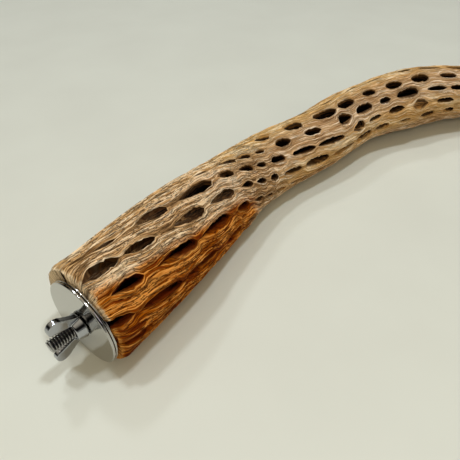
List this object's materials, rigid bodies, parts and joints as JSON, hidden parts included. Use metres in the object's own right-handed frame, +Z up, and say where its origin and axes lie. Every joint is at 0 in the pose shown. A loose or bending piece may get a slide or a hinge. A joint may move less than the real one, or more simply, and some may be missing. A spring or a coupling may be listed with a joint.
{
  "type": "cholla wood perch with clamp hardware",
  "caption": "Curved, hollow cholla cactus skeleton with a net of eye holes, bored at one end for a bolt, two wide washers and a wing nut that clamp it to a wire panel as a perch.",
  "frame": {"origin": "centre of the fixed washer's clamping face, on the bolt's axis", "axes": "+X along the bolt into the wood, +Z up, with the wood lying on a level surface below"},
  "size_m": [0.3957, 0.1235, 0.0492],
  "materials": {
    "weathered_wood": "weathered, open-grained",
    "dowel_wood": "turned, unfinished",
    "bolt_steel": "bright, rolled thread",
    "washer_steel": "bright, stamped",
    "nut_steel": "bright, cast and plated"
  },
  "bodies": {
    "perch": {"cholla_skeleton": "weathered_wood", "end_plug": "dowel_wood", "hanger_bolt": "bolt_steel", "inner_washer": "washer_steel"},
    "loose_washer": {"outer_washer": "washer_steel"},
    "nut": {"wing_nut": "nut_steel"}
  },
  "joints": [
    {"name": "washer_slide", "type": "slide", "parent": "perch", "child": "loose_washer", "axis": [-1, 0, 0], "range_m": [0, 0.0077]},
    {"name": "wing_nut_turn", "type": "hinge", "parent": "loose_washer", "child": "nut", "pos_m": [0, 0, 0], "axis": [-1, 0, 0], "range_deg": [0, 2160]}
  ],
  "couplings": [
    {"joint": "washer_slide", "follows": "wing_nut_turn", "m_per_rad": 0.00020213}
  ]
}
